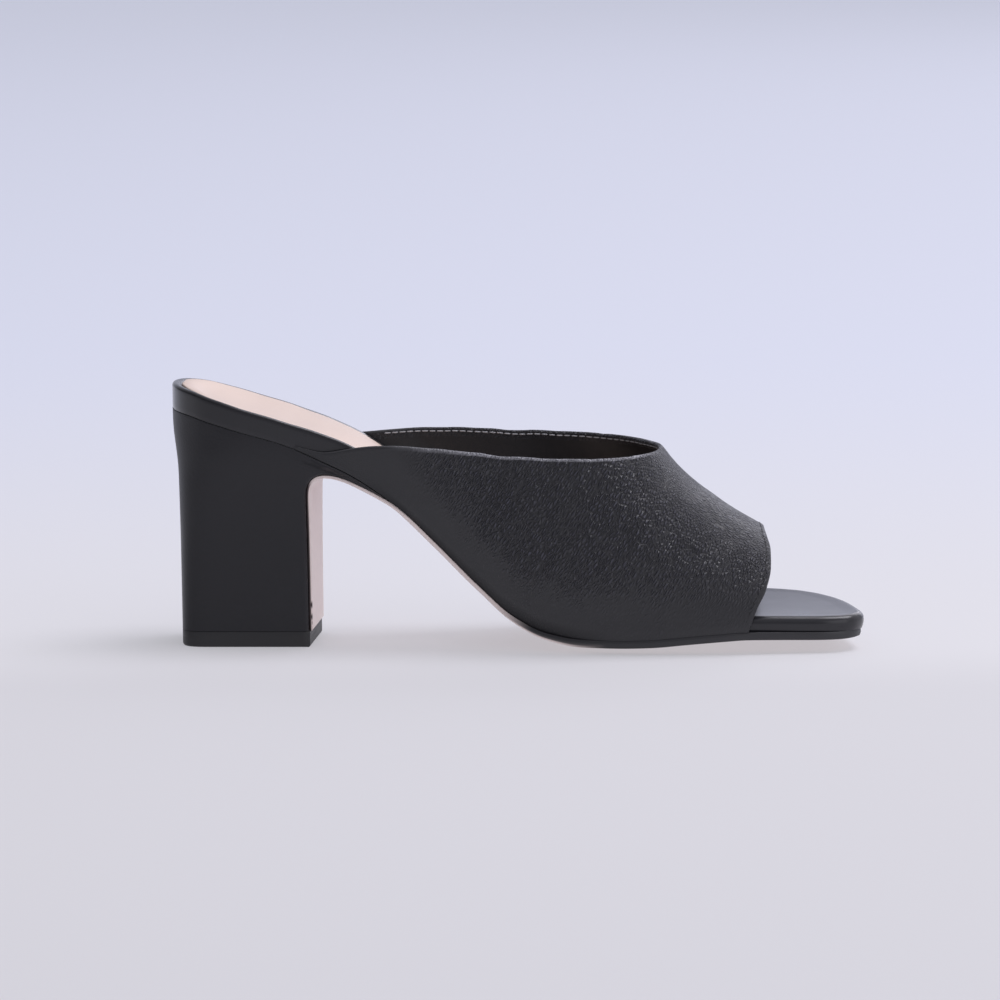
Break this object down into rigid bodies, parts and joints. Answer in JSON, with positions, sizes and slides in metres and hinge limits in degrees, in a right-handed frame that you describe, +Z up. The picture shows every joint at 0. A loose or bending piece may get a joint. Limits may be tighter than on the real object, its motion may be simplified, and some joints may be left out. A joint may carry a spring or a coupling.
{
  "type": "open-toe block-heel mule",
  "caption": "Open-toe leather mule for the left foot, with a hollow wide vamp, a wrapped footbed, an arched outsole that runs down the heel breast and a high block heel.",
  "frame": {"origin": "on the floor, under the middle of the overall box", "axes": "+X to the toe, +Y to the wearer's left (the outer side of this left shoe), +Z up"},
  "size_m": [0.2286, 0.08, 0.0861],
  "materials": {
    "upper_leather": "pebbled, soft sheen",
    "footbed_leather": "smooth, satin",
    "sock_leather": "smooth, matt",
    "sole_leather": "smooth, satin",
    "heel_leather": "smooth, satin",
    "top_piece_rubber": "moulded, matt"
  },
  "bodies": {
    "root": {"upper": "upper_leather", "insole": "footbed_leather", "sock_lining": "sock_leather", "outsole": "sole_leather", "heel": "heel_leather", "top_piece": "top_piece_rubber"}
  },
  "joints": []
}
